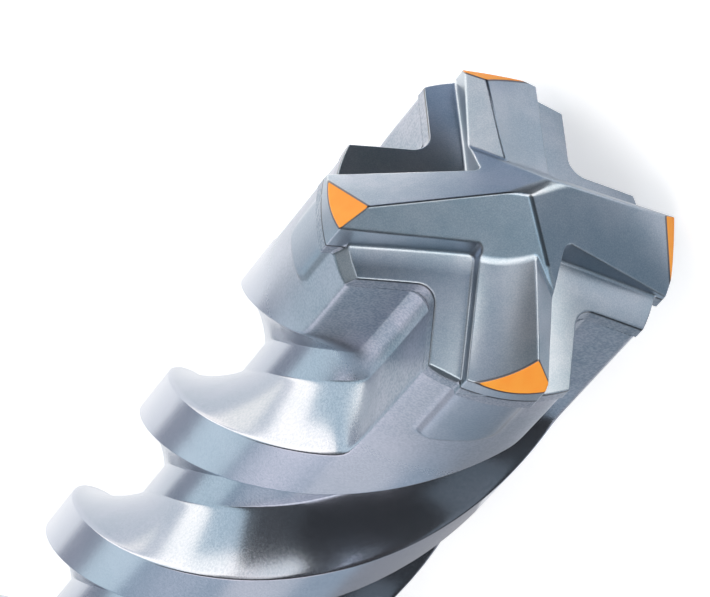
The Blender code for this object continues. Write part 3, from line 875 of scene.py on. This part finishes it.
def steel_material():
    """Blasted steel under the head, which goes over into smoother flutes, lands and shank."""
    material, tree, shader = new_material("blasted_steel_flutes")
    place, (x, y, z) = millimetres(tree)
    radius = radius_of(tree, x, y)
    dimple, colour, skin = stippled(tree, place)
    near = ramp(tree, z, *NEAR_HEAD)
    colour = blend(tree, times(tree, inverse(tree, near), 0.6), colour, FAR_STEEL)
    land = ramp(tree, radius, *LAND_FROM)
    colour = blend(tree, times(tree, land, 0.3), colour, LAND_STEEL)
    pad = times(tree, ramp(tree, radius, *PAD_FROM), near)
    # Painted shade on the sloped sides of the pads
    side = times(tree, ramp(tree, radius, *PAD_SIDE_SHADE_FROM), maths(tree, "SUBTRACT", near, pad))
    colour = blend(tree, times(tree, pad, 0.45), colour, PAD_STEEL)
    colour = blend(tree, times(tree, side, 0.5), colour, PAD_SIDE_SHADE)
    rough = plus(tree, 0.16, times(tree, near, 0.18))
    rough = plus(tree, rough, times(tree, dimple, 0.07))
    height = times(tree, skin, plus(tree, 0.15, times(tree, near, 0.85)))
    bump = add(tree, "ShaderNodeBump", Strength=0.35, Distance=0.00002, Height=height)
    feed(tree, shader, Base_Color=colour, Metallic=0.93, Roughness=rough, Normal=bump.outputs[0])
    return material


# ---------------------------------------------------------------- studio

def seen_directly(tree):
    """1 for camera, glossy and transmission rays."""
    path = add(tree, "ShaderNodeLightPath").outputs
    total = plus(tree, path["Is Camera Ray"], path["Is Glossy Ray"])
    return maths(tree, "ADD", total, path["Is Transmission Ray"], clamp=True)


def make_world():
    """White background with a weaker even light."""
    world = bpy.data.worlds.new("studio")
    bpy.context.scene.world = world
    world.use_nodes = True
    tree = world.node_tree
    strength = plus(tree, times(tree, seen_directly(tree), 1 - AMBIENT), AMBIENT)
    feed(tree, tree.nodes["Background"], Color=(1, 1, 1, 1), Strength=strength)


def make_floor():
    bm = bmesh.new()
    bmesh.ops.create_grid(bm, x_segments=2, y_segments=2, size=FLOOR_REACH)
    floor = linked("floor", mesh_of(bm, "floor"))
    material, tree, shader = new_material("pale_floor")
    glow = times(tree, seen_directly(tree), FLOOR_GLOW)
    feed(tree, shader, Base_Color=(0.9, 0.9, 0.9, 1), Roughness=0.9, Specular_IOR_Level=0.1,
         Emission_Color=(1, 1, 1, 1), Emission_Strength=glow)
    floor.data.materials.append(material)


def arc_row(azimuths, radius, height):
    """Points in mm on an arc round the head."""
    angles = np.radians(np.linspace(*azimuths, CARD_POINTS))
    return [(HEAD_AT + radius * math.cos(angle), radius * math.sin(angle), height)
            for angle in angles]


def studio_card(name, azimuths, span, glow):
    """Flag or reflector that shows only in the metal. Where span is (from, to) in degrees, the card
    hangs between those elevations; where it is (from, to, "mm"), the card lies on the floor."""
    if len(span) == 3:
        rows = [arc_row(azimuths, reach, FLOOR_CARD) for reach in span[:2]]
    else:
        rows = [arc_row(azimuths, CARD_RADIUS * math.cos(elevation),
                        FLOOR_CARD + CARD_RADIUS * math.sin(elevation))
                for elevation in np.radians(np.linspace(*span, CARD_ROWS))]
    bm = bmesh.new()
    lines = [[bm.verts.new((x / 1000, y / 1000, z / 1000)) for x, y, z in row] for row in rows]
    for lower, upper in zip(lines, lines[1:]):
        for corners in zip(lower, lower[1:], upper[1:], upper):
            bm.faces.new(corners)
    card = linked(name, mesh_of(bm, name))
    material, tree, shader = new_material(name)
    feed(tree, shader, Base_Color=(0, 0, 0, 1), Specular_IOR_Level=0.0,
         Emission_Color=(*glow, 1), Emission_Strength=1.0)
    card.data.materials.append(material)
    card.visible_camera = False
    card.visible_shadow = False
    card.visible_diffuse = False


def make_lamp(name, azimuth, elevation, distance_off, size, level, colour):
    """Round softbox aimed at the head, which the metal doesn't reflect."""
    data = bpy.data.lights.new(name, "AREA")
    data.shape = "DISK"
    data.size = size
    data.energy = level * math.pi * math.pi * (size / 2) ** 2
    data.color = colour
    lamp = linked(name, data)
    a, e = math.radians(azimuth), math.radians(elevation)
    aim = Vector((math.cos(a) * math.cos(e), math.sin(a) * math.cos(e), math.sin(e)))
    lamp.location = LAMPS_AIM_AT + aim * distance_off
    lamp.rotation_mode = "QUATERNION"
    lamp.rotation_quaternion = aim.to_track_quat("Z", "Y")
    lamp.visible_glossy = False


def make_camera():
    data = bpy.data.cameras.new("camera")
    data.lens = CAMERA_LENS
    data.sensor_width = 36
    data.clip_start = 0.01
    camera = linked("camera", data)
    camera.rotation_mode = "QUATERNION"
    camera.location = CAMERA_AT
    camera.rotation_quaternion = Quaternion(CAMERA_TURN)
    bpy.context.scene.camera = camera
    bpy.context.scene.view_settings.view_transform = "Standard"


def main():
    make_head(carbide_material())
    steel = steel_material()
    make_body(steel)
    make_shank(steel)
    make_world()
    make_floor()
    for card in STUDIO_CARDS:
        studio_card(*card)
    for lamp in LAMPS:
        make_lamp(*lamp)
    make_camera()


main()
